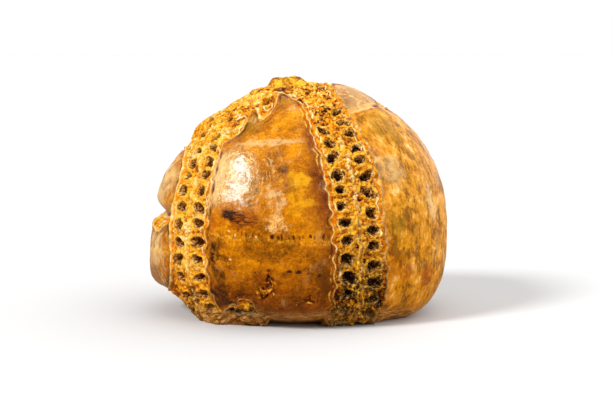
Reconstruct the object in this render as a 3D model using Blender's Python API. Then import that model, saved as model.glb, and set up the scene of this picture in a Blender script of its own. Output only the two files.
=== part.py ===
"""Fossil sea urchin: one solid stone cast of a domed urchin, standing on its flat base.

Five crusty bands of paired pits (the ambulacra) climb from the mouth, under the base, to the
small raised disc at the top. Between them stand five smooth swollen panels, each outlined by a
thin wavy rim; the left one is worn into two lumps with a notch between them. Metres, +Z up,
origin at the middle of the base; the front faces -Y.
"""

import math

import bmesh
import bpy
import numpy as np
from mathutils import Vector, noise

MM = 0.001
DEG = math.pi / 180

# Body
WIDTH = 35.4 * MM  # along X, at the girth
DEPTH = 34.0 * MM  # along Y
HEIGHT = 28.35 * MM
GIRTH_HEIGHT = 10.3 * MM  # the widest level, above the base
APEX_LEAN = 1.6 * MM  # how far the top disc sits to the left of the middle
BASE_SINK = 0.35 * MM  # how much of the rounded underside the flat base cuts away
SHOULDER = 1.94  # superellipse power of the dome: 2 is round, more is fuller
SHOULDER_SWING = 0.34  # fuller on the right, slacker on the left
CORNER = 3.8  # power of the stretch under the girth, down to the base
ARC_PER_RADIAN = 18.5 * MM  # arc along a meridian for each radian of polar angle

# Bands and panels, as azimuths round +Z from the front, positive towards +X
BAND_AZIMUTHS = np.array([-48.8, 23.5, 96.5, 168.0, 239.5]) * DEG  # at the girth
DRIFT_ARCS = np.array([6, 13, 26, 42]) * MM  # arcs from the top disc where a band's drift is set
BAND_DRIFTS = (  # how far each band wanders from its azimuth there, in degrees
    (-4, -7, 0, 1),
    (4.5, 0.3, 0, 3),
    (5, 2, 0, -2),
    (3, 0, 0, 3),
    (-3, -2, 0, 2),
)
BAND_HALF_WIDTH = 3.25 * MM
BAND_TOP_HALF_WIDTH = 1.4 * MM  # at the top disc, before it widens
BAND_WIDENING = 0.12  # half width gained for each unit of distance from the axis
BAND_BASE_SHARE = 0.62  # the most of a sector that a band takes, under the base
BAND_SINK = 0.25 * MM
FOOT_ARC, FOOT_HEIGHT, FOOT_LENGTH = 42.0 * MM, 0.95 * MM, 3.0 * MM  # a band's end, at the base
PANEL_SWELL = 0.55 * MM
PANEL_TIPS = np.array([6.4, 6.0, 6.8, 6.2, 17.6]) * MM  # arc from the top disc to each tip
PANEL_ENDS = np.array([52.0, 52.0, 52.0, 52.0, 37.4]) * MM  # arc to each lower end
PANEL_ARCH = 4.5 * MM  # how long the rounded ends are
PANEL_MIN_HALF_WIDTH = 0.4 * MM
PANEL_FLAT_FROM, PANEL_FLAT_TO = 34 * MM, 41 * MM  # the swell dies away between these arcs
TONGUES = (  # crust reaching into a panel: azimuth in degrees, arc, half width, half length in mm
    (-19.5, 8.0, 1.15, 3.6),
    (-40.0, 7.3, 2.8, 3.0),
    (-41.0, 12.8, 2.1, 2.9),
    (-76.0, 28.2, 3.4, 0.9),
    (-91.0, 27.4, 3.4, 0.5),
    (-26.0, 39.8, 2.3, 2.6),
    (-22.6, 37.4, 1.0, 1.3),
)
TONGUE_SQUARENESS, TONGUE_BLEND = 2.6, 0.3 * MM

# Rims, pits and ridges
RIM_HEIGHT, RIM_WIDTH = 0.24 * MM, 0.20 * MM
GROOVE_AT, GROOVE_DEPTH, GROOVE_WIDTH = 0.45 * MM, 0.16 * MM, 0.24 * MM
RIM_WAVE = 0.17 * MM
SCALLOP, SCALLOP_LENGTH = 0.24 * MM, 0.7 * MM  # how far a rim swings out beside each pit
SCALLOP_FROM, SCALLOP_FULL = 8 * MM, 14 * MM  # arcs where the scallops start and are whole
PIT_DEPTH = 1.0 * MM
PIT_RADIUS = 0.66 * MM
PIT_COLUMN = 0.51  # where a column of pits runs, as a share of the band's half width
PIT_STARTS = (  # arc in mm to the first pit of each band's left and right columns
    (17.3, 15.0),
    (14.6, 11.6),
    (12.5, 11.0),
    (10.5, 12.0),
    (13.5, 12.5),
)
PIT_LAST = 50.0 * MM
PIT_PITCH_ENDS, PIT_PITCH_GIRTH = 1.4 * MM, 2.2 * MM
PIT_JITTER, PIT_SHIFT = 0.2 * MM, 0.14 * MM
CLOGGED_BAND = 1  # low down this band's pits grow into each other, and the others' a little
CLOG_FROM, CLOG_FULL = 27 * MM, 35 * MM
CLOG_GROWTH, CLOG_UNEVEN, CLOG_SIZE = 0.1, 0.55, 1.3 * MM
LIP_HEIGHT = 0.14 * MM
MEDIAN_HEIGHT, MEDIAN_WIDTH = 0.18 * MM, 0.22 * MM
MEDIAN_WANDER = 0.18 * MM
LUMPY_SIZE, LUMPY_HEIGHT = 2.3 * MM, 0.22 * MM  # the bands' crust
LUMPIER_LEFT = 0.6  # how much higher those lumps stand on the left
HOLLOWS = (  # odd hollows: azimuth in degrees, then arc, half width, half length, depth in mm
    (-24.0, 7.8, 0.5, 1.0, 0.7),
    (-83.0, 12.0, 0.8, 0.6, 0.6),
    (-53.0, 11.2, 0.7, 0.5, 0.5),
    (-75.0, 14.5, 0.7, 0.6, 0.6),
    (-53.5, 15.2, 0.6, 0.6, 0.6),
    (-66.0, 27.6, 0.9, 0.5, 0.7),
    (64.0, 12.2, 1.2, 0.4, 0.35),
    (-11.0, 34.2, 0.75, 1.3, 0.3),
    (-14.6, 35.3, 0.8, 0.9, 0.3),
    (4.1, 36.0, 0.85, 0.65, 0.3),
)

# Top disc, mouth and the worn places
DISC_RADIUS, DISC_HEIGHT = 2.4 * MM, 0.6 * MM
DISC_PLATES, PLATE_HEIGHT = 5, 0.16 * MM  # the plates that make its edge lumpy
MOUTH_RADIUS, MOUTH_DEPTH = 3.3 * MM, 1.7 * MM
LEDGE_PANEL = 4  # the left panel, worn into an upper and a lower lump
LEDGE_ARC, LEDGE_DEPTH, LEDGE_WIDTH = 27.0 * MM, 1.5 * MM, 0.9 * MM
UNEVEN_SIZE, UNEVEN_HEIGHT = 7.0 * MM, 0.2 * MM
LUMPS = (  # azimuth in degrees, then arc, reach and height in mm; a negative height is a dent
    (72, 7.6, 3.2, 0.35),
    (76, 12.3, 1.2, -0.6),
    (-96, 14.4, 2.8, 0.75),
    (-86, 19.6, 1.3, -0.9),
    (-86, 35.6, 2.0, 0.45),
    (-82, 39.9, 2.6, -1.8),
    (-46, 41.0, 3.0, 1.1),
    (40, 40.8, 2.2, 0.6),
    (64, 40.2, 3.8, 0.95),
)

SPHERE_SUBDIVISIONS = 8
BAND_CROWDING = 0.55  # how much the sphere's points crowd into the bands
FACES_KEPT = 0.0298
SEED = 5

SECTORS = len(BAND_AZIMUTHS)
FAR = 9.0  # a distance, in pit radii, that no pit reaches


def wrap(angle):
    """The angle brought to between -pi and pi."""
    return (angle + math.pi) % (2 * math.pi) - math.pi


def smooth(low, high, value):
    """0 below low, 1 above high, and an S-curve between them."""
    share = np.clip((value - low) / (high - low), 0, 1)
    return share * share * (3 - 2 * share)


def bump(distance, width):
    """A rounded ridge: 1 at no distance, falling away over width."""
    return np.exp(-((distance / width) ** 2))


def larger(a, b, blend):
    """The larger of two distances, rounded over where they meet."""
    share = np.clip(0.5 + 0.5 * (a - b) / blend, 0, 1)
    return b + (a - b) * share + blend * share * (1 - share)


def crowded(directions):
    """The sphere's points turned round the axis, so that more of them lie in the bands."""
    azimuth = np.arctan2(directions[:, 0], -directions[:, 1])
    flat = np.hypot(directions[:, 0], directions[:, 1])
    phase = (azimuth - BAND_AZIMUTHS[0]) * SECTORS
    azimuth = azimuth - BAND_CROWDING * np.sin(phase) / SECTORS
    return np.column_stack([flat * np.sin(azimuth), -flat * np.cos(azimuth), directions[:, 2]])


def body(directions):
    """The smooth dome: the point of its surface in each direction from the middle of the girth."""
    x, y, z = directions.T
    flat = np.maximum(np.hypot(x, y), 1e-9)
    rightness, frontness = x / flat, -y / flat
    girth = 1 / np.maximum(np.hypot(2 * rightness / WIDTH, 2 * frontness / DEPTH), 1)
    above = z > 0
    power = np.where(above, SHOULDER + SHOULDER_SWING * rightness, CORNER)
    rise = np.where(above, HEIGHT - DISC_HEIGHT - GIRTH_HEIGHT, GIRTH_HEIGHT + BASE_SINK)
    reach = ((flat / girth) ** power + (np.abs(z) / rise) ** power) ** (-1 / power)
    points = directions * reach[:, None]
    climb = np.clip(points[:, 2] / (HEIGHT - GIRTH_HEIGHT), 0, 1)
    points[:, 0] -= APEX_LEAN * climb**2
    points[:, 2] += GIRTH_HEIGHT
    return points


def normals(directions, step=2e-3):
    """The dome's outward normals, from points a small step to each side."""
    helper = np.where(np.abs(directions[:, 2:]) > 0.9, [[1.0, 0, 0]], [[0, 0, 1.0]])
    across = np.cross(helper, directions)
    across /= np.linalg.norm(across, axis=1)[:, None]
    along = np.cross(directions, across)

    def slope(tangent):
        ends = [directions + sign * step * tangent for sign in (1, -1)]
        ahead, behind = (body(e / np.linalg.norm(e, axis=1)[:, None]) for e in ends)
        return ahead - behind

    found = np.cross(slope(across), slope(along))
    return found / np.linalg.norm(found, axis=1)[:, None]


def wave(arc, key):
    """An uneven wave between about -1 and 1 along a rim; each key gives its own."""
    turns = ((2.3, 1.0), (3.9, 0.55), (1.27, 0.4), (0.83, 0.22))  # wavelength in mm, share
    total = sum(
        share * np.sin(2 * math.pi * arc / (length * MM) + 1.7 * key * (i + 1) + i)
        for i, (length, share) in enumerate(turns)
    )
    return total / 1.6


def rolling(points, size):
    """Soft noise from about -1 to 1, with hills about size apart."""
    return np.array([noise.noise(Vector(p) / size) for p in points])


def band_azimuths(arc):
    """Each band's azimuth at each arc: one row for each band, and the first again, a turn on."""
    drifts = [np.interp(arc, DRIFT_ARCS, np.array(row) * DEG) for row in BAND_DRIFTS]
    rows = BAND_AZIMUTHS[:, None] + np.array(drifts)
    return np.vstack([rows, rows[:1] + 2 * math.pi])


def nearest_of(azimuth, rows):
    """For each point, which row's azimuth is nearest, and the angle from it."""
    turns = wrap(azimuth - rows)
    nearest = np.abs(turns).argmin(axis=0)
    return nearest, turns[nearest, np.arange(len(azimuth))]


def band_half_width(radius, arc):
    """Half the width of a band, at a distance from the axis."""
    width = np.minimum(BAND_TOP_HALF_WIDTH + BAND_WIDENING * radius, BAND_HALF_WIDTH)
    under = smooth(38 * MM, 44 * MM, arc)
    narrow = np.minimum(width, radius * BAND_BASE_SHARE * math.pi / SECTORS)
    return width + (narrow - width) * under


def pit_rows():
    """For each band and side: the arcs, offsets, radii, lean and depth of its pits."""
    rng = np.random.default_rng(SEED)
    rows = []
    for band in range(SECTORS):
        for side in (-1, 1):
            arc, arcs = PIT_STARTS[band][int(side > 0)] * MM, []
            while arc < PIT_LAST:
                arcs.append(arc)
                swell = math.sin(math.pi * (arc - 2 * MM) / (56 * MM))
                arc += PIT_PITCH_ENDS + (PIT_PITCH_GIRTH - PIT_PITCH_ENDS) * swell
            count = len(arcs)
            arcs = np.array(arcs) + rng.uniform(-1, 1, count) * PIT_JITTER
            middling = np.sin(math.pi * np.clip((arcs - 2 * MM) / (54 * MM), 0, 1))
            size = PIT_RADIUS * (0.6 + 0.4 * middling)
            rows.append(
                {
                    "band": band,
                    "side": side,
                    "arc": arcs,
                    "shift": rng.uniform(-1, 1, count) * PIT_SHIFT,
                    "wide": size * rng.uniform(0.9, 1.4, count),
                    "tall": size * rng.uniform(0.72, 1.15, count),
                    "lean": rng.uniform(-0.5, 0.5, count),
                    "deep": rng.uniform(0.65, 1.1, count),
                }
            )
    return rows


def beside(arc, row):
    """The two pits of a row that each arc lies between, as indices."""
    middle = np.searchsorted(row["arc"], arc)
    return [np.clip(middle + neighbour, 0, len(row["arc"]) - 1) for neighbour in (-1, 0)]


def scallops(arc, row_number, rows):
    """1 level with a pit of the row beside the rim, and 0 between two pits."""
    swing = np.zeros(len(arc))
    for number, row in enumerate(rows):
        mine = np.flatnonzero(row_number == number)
        for k in beside(arc[mine], row):
            level = bump(arc[mine] - row["arc"][k], SCALLOP_LENGTH)
            swing[mine] = np.maximum(swing[mine], level)
    return swing


def pit_reach(lateral, arc, band, half, rows):
    """Distance to the nearest pit's middle, in that pit's own radii, and how deep that pit is."""
    nearest, deep = np.full(len(arc), FAR), np.ones(len(arc))
    for row in rows:
        mine = np.flatnonzero(band == row["band"])
        for k in beside(arc[mine], row):
            column = row["side"] * PIT_COLUMN * half[mine] + row["shift"][k]
            along = (arc[mine] - row["arc"][k]) / row["tall"][k]
            across = (lateral[mine] - column) / row["wide"][k] + row["lean"][k] * along
            reach = (np.abs(across) ** 2.4 + np.abs(along) ** 2.4) ** (1 / 2.4)
            deep[mine] = np.where(reach < nearest[mine], row["deep"][k], deep[mine])
            nearest[mine] = np.minimum(nearest[mine], reach)
    return nearest, deep


def oval(place, azimuth, arc, radius, power=2.0):
    """0 at the middle of a patch laid on the stone, and 1 at its edge."""
    patch_azimuth, patch_arc, half_width, half_length = place
    across = np.abs(radius * wrap(azimuth - patch_azimuth * DEG)) / (half_width * MM)
    along = np.abs(arc - patch_arc * MM) / (half_length * MM)
    return (across**power + along**power) ** (1 / power)


def rim_distance(place, lateral, half, rows):
    """Distance from the panels' outlines, negative inside a panel."""
    azimuth, arc, radius, panel = place
    side = (lateral > 0).astype(int)
    row_number = np.where(side > 0, 2 * ((panel + 1) % SECTORS), 2 * panel + 1)
    swing = SCALLOP * smooth(SCALLOP_FROM, SCALLOP_FULL, arc) * (0.4 - scallops(arc, row_number, rows))
    edge = half + RIM_WAVE * wave(arc, 2 * panel + side) + swing
    above = np.maximum(PANEL_TIPS[panel] + PANEL_ARCH - arc, 0)
    below = np.maximum(arc - PANEL_ENDS[panel] + PANEL_ARCH, 0)
    across, along = lateral / edge, (above + below) / PANEL_ARCH
    reach = np.maximum(np.hypot(across, along), 1e-9)
    steepness = np.maximum(np.hypot(across / edge, along / PANEL_ARCH), 1e-9)
    rim = (reach - 1) * reach / steepness
    for tongue in TONGUES:
        inside = (1 - oval(tongue, azimuth, arc, radius, TONGUE_SQUARENESS)) * min(tongue[2:]) * MM
        rim = larger(rim, inside, TONGUE_BLEND)
    return rim


def lay_out(directions, points):
    """Where each point lies: its arc and radius, and its place among the bands, rims and pits."""
    azimuth = np.arctan2(directions[:, 0], -directions[:, 1])
    arc = ARC_PER_RADIAN * np.arccos(np.clip(directions[:, 2], -1, 1))
    radius = np.hypot(points[:, 0], points[:, 1])
    bands = band_azimuths(arc)
    band, band_turn = nearest_of(azimuth, bands[:SECTORS])
    panel, panel_turn = nearest_of(azimuth, (bands[:-1] + bands[1:]) / 2)
    sector = ((bands[1:] - bands[:-1]) / 2)[panel, np.arange(len(panel))]
    lateral, from_band = radius * panel_turn, radius * band_turn
    band_half = band_half_width(radius, arc)
    half = np.maximum(radius * sector - band_half, PANEL_MIN_HALF_WIDTH)
    rows = pit_rows()
    rim = rim_distance((azimuth, arc, radius, panel), lateral, half, rows)
    pit, deep = pit_reach(from_band, arc, band, band_half, rows)
    clogged = smooth(CLOG_FROM, CLOG_FULL, arc) * np.where(band == CLOGGED_BAND, 1, 0.4)
    pit = pit - clogged * (CLOG_GROWTH + CLOG_UNEVEN * rolling(points, CLOG_SIZE))
    return {
        "azimuth": azimuth,
        "arc": arc,
        "radius": radius,
        "panel": panel,
        "half": half,
        "rim": rim,
        "crust": smooth(-0.1 * MM, 0.25 * MM, rim),
        "from_side": np.clip(1 - np.abs(lateral) / half, 0, 1),
        "pit": pit,
        "deep": deep,
        "median": from_band - MEDIAN_WANDER * wave(arc, 20 + 3.0 * band),
        "above": directions[:, 2] > 0,
    }


def panel_relief(f):
    """The swollen panels with the rims and grooves round them, and the left one's notch."""
    inward = np.clip(-f["rim"] / f["half"], 0, 1)
    swell = PANEL_SWELL * np.clip(f["half"] / (5 * MM), 0, 1) * (1 - (1 - inward) ** 2.6)
    height = swell * (1 - smooth(PANEL_FLAT_FROM, PANEL_FLAT_TO, f["arc"]))
    height += RIM_HEIGHT * bump(f["rim"], RIM_WIDTH)
    height -= GROOVE_DEPTH * bump(f["rim"] + GROOVE_AT, GROOVE_WIDTH)
    ledge = LEDGE_DEPTH * bump(f["arc"] - LEDGE_ARC, LEDGE_WIDTH) * smooth(0, 0.3, f["from_side"])
    return height - np.where(f["panel"] == LEDGE_PANEL, ledge, 0)


def band_relief(f, points):
    """The sunk, lumpy bands with their pits and lips, the ridge between them and the feet."""
    arc, crust = f["arc"], f["crust"]
    fade = crust * (1 - 0.45 * smooth(38 * MM, 44 * MM, arc))
    lumpier = 1 + LUMPIER_LEFT * (1 - smooth(-18 * DEG, 2 * DEG, f["azimuth"]))
    height = -BAND_SINK * crust + LUMPY_HEIGHT * lumpier * crust * rolling(points, LUMPY_SIZE)
    height -= PIT_DEPTH * f["deep"] * fade * (1 - smooth(0.5, 1.12, f["pit"]))
    height += LIP_HEIGHT * fade * bump(f["pit"] - 1.3, 0.28)
    height += MEDIAN_HEIGHT * fade * bump(f["median"], MEDIAN_WIDTH)
    return height + FOOT_HEIGHT * crust * bump(arc - FOOT_ARC, FOOT_LENGTH)


def disc(azimuth, arc):
    """The raised disc at the top, with a plate in line with each panel."""
    plates = PLATE_HEIGHT * np.cos(DISC_PLATES * azimuth) * bump(arc - 0.7 * DISC_RADIUS, MM)
    return (DISC_HEIGHT + plates) * (1 - smooth(0.7, 1.25, arc / DISC_RADIUS))


def ends_relief(f):
    """The disc at the top and the mouth underneath."""
    mouth = MOUTH_DEPTH * (1 - smooth(0.45, 1.1, f["radius"] / MOUTH_RADIUS))
    return np.where(f["above"], disc(f["azimuth"], f["arc"]), -mouth)


def lumps(f):
    """The single lumps, dents and hollows that make the stone lopsided."""
    azimuth, arc, radius = f["azimuth"], f["arc"], f["radius"]
    height = np.zeros(len(arc))
    for lump_azimuth, lump_arc, reach, rise in LUMPS:
        away = oval((lump_azimuth, lump_arc, reach, reach), azimuth, arc, radius)
        height += rise * MM * bump(away, 1)
    for *place, depth in HOLLOWS:
        height -= depth * MM * (1 - smooth(0.35, 1.15, oval(place, azimuth, arc, radius)))
    return height


def surface(directions):
    """The finished surface, standing on z = 0 with its box centred on the Z axis."""
    points = body(directions)
    f = lay_out(directions, points)
    height = panel_relief(f) + band_relief(f, points) + ends_relief(f) + lumps(f)
    height += UNEVEN_HEIGHT * rolling(points, UNEVEN_SIZE)
    points = points + normals(directions) * height[:, None]
    points[:, 2] = np.maximum(points[:, 2], 0)
    middle = (points[:, :2].max(axis=0) + points[:, :2].min(axis=0)) / 2
    points[:, :2] -= middle
    return points


def stone_material():
    material = bpy.data.materials.new("amber_stone")
    material.use_nodes = True
    shader = material.node_tree.nodes["Principled BSDF"]
    shader.inputs["Base Color"].default_value = (0.56, 0.27, 0.03, 1)
    shader.inputs["Roughness"].default_value = 0.4
    shader.inputs["Metallic"].default_value = 0.0
    return material


def sea_urchin():
    """The whole fossil, from a sphere whose points are moved out to the finished surface."""
    mesh = bpy.data.meshes.new("sea_urchin")
    work = bmesh.new()
    bmesh.ops.create_icosphere(work, subdivisions=SPHERE_SUBDIVISIONS, radius=1)
    work.to_mesh(mesh)
    work.free()
    directions = np.empty(len(mesh.vertices) * 3)
    mesh.vertices.foreach_get("co", directions)
    directions = directions.reshape(-1, 3)
    directions /= np.linalg.norm(directions, axis=1)[:, None]
    points = surface(crowded(directions))
    mesh.vertices.foreach_set("co", points.astype(np.float32).ravel())
    mesh.update()
    mesh.shade_smooth()
    mesh.materials.append(stone_material())
    urchin = bpy.data.objects.new("sea_urchin", mesh)
    bpy.context.scene.collection.objects.link(urchin)
    fewer = urchin.modifiers.new("fewer_faces", "DECIMATE")
    fewer.ratio = FACES_KEPT
    return urchin


def main():
    for leftover in list(bpy.data.objects):
        bpy.data.objects.remove(leftover)
    sea_urchin()


if __name__ == "__main__":
    main()
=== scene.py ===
# A fossil sea urchin: one fine mesh of amber stone, with smooth panels between crusty bands
# of pits, thin pale rims, worn patches and dark stains, on a white studio floor.
import itertools
import math

import bmesh
import bpy
import numpy as np
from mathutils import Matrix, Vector


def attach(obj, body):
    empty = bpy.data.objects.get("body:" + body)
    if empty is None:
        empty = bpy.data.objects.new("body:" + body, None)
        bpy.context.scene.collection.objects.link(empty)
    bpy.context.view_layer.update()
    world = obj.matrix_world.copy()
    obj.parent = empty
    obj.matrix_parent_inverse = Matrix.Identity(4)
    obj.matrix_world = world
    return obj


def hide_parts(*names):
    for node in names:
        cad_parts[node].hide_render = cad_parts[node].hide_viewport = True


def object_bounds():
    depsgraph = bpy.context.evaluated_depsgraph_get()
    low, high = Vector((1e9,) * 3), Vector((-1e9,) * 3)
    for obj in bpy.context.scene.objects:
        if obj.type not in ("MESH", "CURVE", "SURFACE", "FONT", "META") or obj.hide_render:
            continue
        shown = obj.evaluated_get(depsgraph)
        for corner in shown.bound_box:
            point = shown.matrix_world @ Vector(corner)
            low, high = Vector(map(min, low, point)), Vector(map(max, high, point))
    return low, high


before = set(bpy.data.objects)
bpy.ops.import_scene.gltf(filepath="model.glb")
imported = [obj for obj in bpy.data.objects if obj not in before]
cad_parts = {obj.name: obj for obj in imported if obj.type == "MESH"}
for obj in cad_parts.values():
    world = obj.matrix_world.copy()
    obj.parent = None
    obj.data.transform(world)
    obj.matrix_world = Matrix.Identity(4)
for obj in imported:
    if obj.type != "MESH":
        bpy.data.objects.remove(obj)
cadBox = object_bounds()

mm = 0.001
deg = math.pi / 180
turn = 2 * math.pi


# small helpers for numbers, used all through the mesh

def wrap(angle):
    return (angle + math.pi) % turn - math.pi


def smooth(low, high, value):
    share = np.clip((value - low) / (high - low), 0, 1)
    return share * share * (3 - 2 * share)


def bump(distance, width):
    return np.exp(-((distance / width) ** 2))


def unit(vectors):
    return vectors / np.maximum(np.linalg.norm(vectors, axis=1), 1e-12)[:, None]


def larger(a, b, blend):
    # the larger of two distances, rounded over where they meet
    share = np.clip(0.5 + 0.5 * (a - b) / blend, 0, 1)
    return b + (a - b) * share + blend * share * (1 - share)


def hashed(order, cells):
    # one number for each lattice cell, the same on every run
    x, y, z = (cells & 255).T
    return order[(order[(order[x] + y) & 255] + z) & 255]


def gradientNoise(points, size, seed):
    # soft noise from about -1 to 1
    rng = np.random.default_rng(seed)
    order = rng.permutation(256)
    slopes = unit(rng.normal(size=(256, 3)))
    place = points / size
    cell = np.floor(place).astype(np.int64)
    inside = place - cell
    ease = inside ** 3 * (inside * (inside * 6 - 15) + 10)
    total = np.zeros(len(points))
    for corner in itertools.product((0, 1), repeat=3):
        pick = hashed(order, cell + corner)
        reach = ((inside - corner) * slopes[pick]).sum(axis=1)
        total += reach * np.where(corner, ease, 1 - ease).prod(axis=1)
    return total * 1.6


def layeredNoise(points, size, seed, layers=3, keep=0.5):
    total, weight = 0, 1
    for layer in range(layers):
        total = total + weight * gradientNoise(points, size / 2 ** layer, seed + layer)
        weight *= keep
    return total


def pebbles(points, size, seed):
    # grains: how far up its grain each point is, 0 in the creases, and one random number per grain
    rng = np.random.default_rng(seed)
    order, seats, ownTones = rng.permutation(256), rng.uniform(0, 1, (256, 3)), rng.uniform(0, 1, 256)
    place = points / size
    cell = np.floor(place).astype(np.int64)
    inside = place - cell
    first, second = np.full(len(points), 9.0), np.full(len(points), 9.0)
    owner = np.zeros(len(points), dtype=np.int64)
    for step in itertools.product((-1, 0, 1), repeat=3):
        pick = hashed(order, cell + step)
        away = np.linalg.norm(inside - step - seats[pick], axis=1)
        closer = away < first
        second = np.where(closer, first, np.minimum(second, away))
        first = np.where(closer, away, first)
        owner = np.where(closer, pick, owner)
    return smooth(0, 0.5, second - first), ownTones[owner]


# the stone's form, laid out like the solid's

body = {
    "width": 35.4 * mm,
    "depth": 34.0 * mm,
    "height": 28.35 * mm,
    "girthHeight": 10.3 * mm,
    "apexLean": 1.6 * mm,
    "baseSink": 0.35 * mm,
    "shoulder": 1.94,       # how full the dome is: 2 is round
    "shoulderSwing": 0.34,  # fuller on the right, slacker on the left
    "corner": 3.8,
    "arcPerRadian": 18.5 * mm,
    "unevenSize": 7.0 * mm,
    "unevenHeight": 0.2 * mm,
    "lumps": (              # azimuth in degrees, arc, reach and height in mm
        (72, 7.6, 3.2, 0.35),
        (76, 12.3, 1.2, -0.6),
        (-96, 14.4, 2.8, 0.75),
        (-86, 19.6, 1.3, -0.9),
        (-86, 35.6, 2.0, 0.45),
        (-82, 39.9, 2.6, -1.8),
        (-46, 41.0, 3.0, 1.1),
        (40, 40.8, 2.2, 0.6),
        (64, 40.2, 3.8, 0.95),
    ),
}

bands = {
    "azimuths": np.array([-48.8, 23.5, 96.5, 168.0, 239.5]) * deg,
    "driftArcs": np.array([6, 13, 26, 42]) * mm,
    "drifts": ((-4, -7, 0, 1), (4.5, 0.3, 0, 3), (5, 2, 0, -2), (3, 0, 0, 3), (-3, -2, 0, 2)),
    "halfWidth": 3.25 * mm,
    "topHalfWidth": 1.4 * mm,
    "widening": 0.12,
    "baseShare": 0.62,
    "sink": 0.25 * mm,
    "footArc": 42.0 * mm,
    "footHeight": 0.95 * mm,
    "footLength": 3.0 * mm,
}

panels = {
    "swell": 0.55 * mm,
    "tips": np.array([6.4, 6.0, 6.8, 6.2, 17.6]) * mm,
    "ends": np.array([52.0, 52.0, 52.0, 52.0, 37.4]) * mm,
    "arch": 4.5 * mm,
    "ledgePanel": 4,
    "ledgeArc": 27.0 * mm,
    "ledgeDepth": 1.5 * mm,
    "ledgeWidth": 0.9 * mm,
    "sutures": np.array([28.3, 24.9, 27.2, 26.4, 31.2]) * mm,   # where each one's plates meet
    "sutureDepth": 0.05 * mm,
    "tongues": (            # crust reaching into a panel: azimuth, arc, half width, half length
        (-19.5, 8.0, 1.15, 3.6),
        (-40.0, 7.3, 2.8, 3.0),
        (-41.0, 12.8, 2.1, 2.9),
        (-76.0, 28.2, 3.4, 0.9),
        (-91.0, 27.4, 3.4, 0.5),
        (-26.0, 39.8, 2.3, 2.6),
        (-22.6, 37.4, 1.0, 1.3),
    ),
}

rims = {
    "height": 0.15 * mm,
    "width": 0.14 * mm,
    "wave": 0.15 * mm,
    "scallop": 0.2 * mm,    # how far the edge swings out beside each pit
    "scallopLength": 0.7 * mm,
    "wobble": 0.14 * mm,
    "sway": 0.24 * mm,      # slower wandering
    "innerAt": 0.62 * mm,
    "innerHeight": 0.12 * mm,
    "innerWidth": 0.16 * mm,
    "grooveAt": 0.36 * mm,
    "grooveDepth": 0.15 * mm,
    "grooveWidth": 0.2 * mm,
}

pits = {
    "depth": 1.0 * mm,
    "radius": 0.66 * mm,
    "column": 0.51,
    "starts": ((17.3, 15.0), (14.6, 11.6), (12.5, 11.0), (10.5, 12.0), (13.5, 12.5)),
    "lastArc": 50.0 * mm,
    "pitchEnds": 1.4 * mm,
    "pitchGirth": 2.2 * mm,
    "jitter": 0.2 * mm,
    "lipHeight": 0.15 * mm,
    "medianHeight": 0.18 * mm,
    "medianWidth": 0.22 * mm,
    "seed": 5,
    "hollows": (            # odd hollows: azimuth, arc, half width, half length, depth
        (-24.0, 7.8, 0.50, 1.0, 0.7),
        (-83.0, 12.0, 0.80, 0.6, 0.6),
        (-53.0, 11.2, 0.70, 0.5, 0.5),
        (-75.0, 14.5, 0.70, 0.6, 0.6),
        (-53.5, 15.2, 0.60, 0.6, 0.6),
        (-77.0, 17.3, 0.45, 0.4, 0.4),
        (-66.0, 27.6, 0.90, 0.5, 0.7),
        (-28.6, 37.3, 0.50, 0.5, 0.4),
        (64.0, 12.2, 1.20, 0.3, 0.35),
    ),
}

ends = {
    "discRadius": 2.4 * mm,
    "discHeight": 0.6 * mm,
    "discPlates": 5,
    "plateHeight": 0.16 * mm,
    "mouthRadius": 3.3 * mm,
    "mouthDepth": 1.7 * mm,
}

crust = {
    "lumpSize": 2.3 * mm,
    "lumpHeight": 0.18 * mm,
    "foldSize": 1.1 * mm,     # melted folds with creases between them
    "foldHeight": 0.26 * mm,
    "crumbSize": 0.8 * mm,
    "crumbHeight": 0.14 * mm,
    "grainSize": 0.4 * mm,
    "grainHeight": 0.13 * mm,
    "topArc": 15.0 * mm,      # above this the bands are all crumbs
    "capArc": 4.0 * mm,       # and above this they are smoother again
    "floorRough": 0.3 * mm,   # how rough the pits' floors are
    "seed": 31,
}

sectors = len(bands["azimuths"])


def dome(directions):
    x, y, z = directions.T
    flat = np.maximum(np.hypot(x, y), 1e-9)
    rightness, frontness = x / flat, -y / flat
    girth = 1 / np.maximum(np.hypot(2 * rightness / body["width"], 2 * frontness / body["depth"]), 1)
    above = z > 0
    power = np.where(above, body["shoulder"] + body["shoulderSwing"] * rightness, body["corner"])
    domeRise = body["height"] - ends["discHeight"] - body["girthHeight"]
    rise = np.where(above, domeRise, body["girthHeight"] + body["baseSink"])
    reach = ((flat / girth) ** power + (np.abs(z) / rise) ** power) ** (-1 / power)
    points = directions * reach[:, None]
    climb = np.clip(points[:, 2] / (body["height"] - body["girthHeight"]), 0, 1)
    points[:, 0] -= body["apexLean"] * climb ** 2
    points[:, 2] += body["girthHeight"]
    return points


def domeNormals(directions, step=2e-3):
    helper = np.where(np.abs(directions[:, 2:]) > 0.9, [[1.0, 0, 0]], [[0, 0, 1.0]])
    across = unit(np.cross(helper, directions))
    along = np.cross(directions, across)

    def slope(tangent):
        ahead, behind = (dome(unit(directions + side * step * tangent)) for side in (1, -1))
        return ahead - behind

    return unit(np.cross(slope(across), slope(along)))


def wave(arc, key):
    turns = ((2.3, 1.0), (3.9, 0.55), (1.27, 0.4), (0.83, 0.22))
    total = sum(
        share * np.sin(turn * arc / (length * mm) + 1.7 * key * (i + 1) + i)
        for i, (length, share) in enumerate(turns)
    )
    return total / 1.6


def bandAzimuths(arc):
    drifts = [np.interp(arc, bands["driftArcs"], np.array(row) * deg) for row in bands["drifts"]]
    rows = bands["azimuths"][:, None] + np.array(drifts)
    return np.vstack([rows, rows[:1] + turn])


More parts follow.
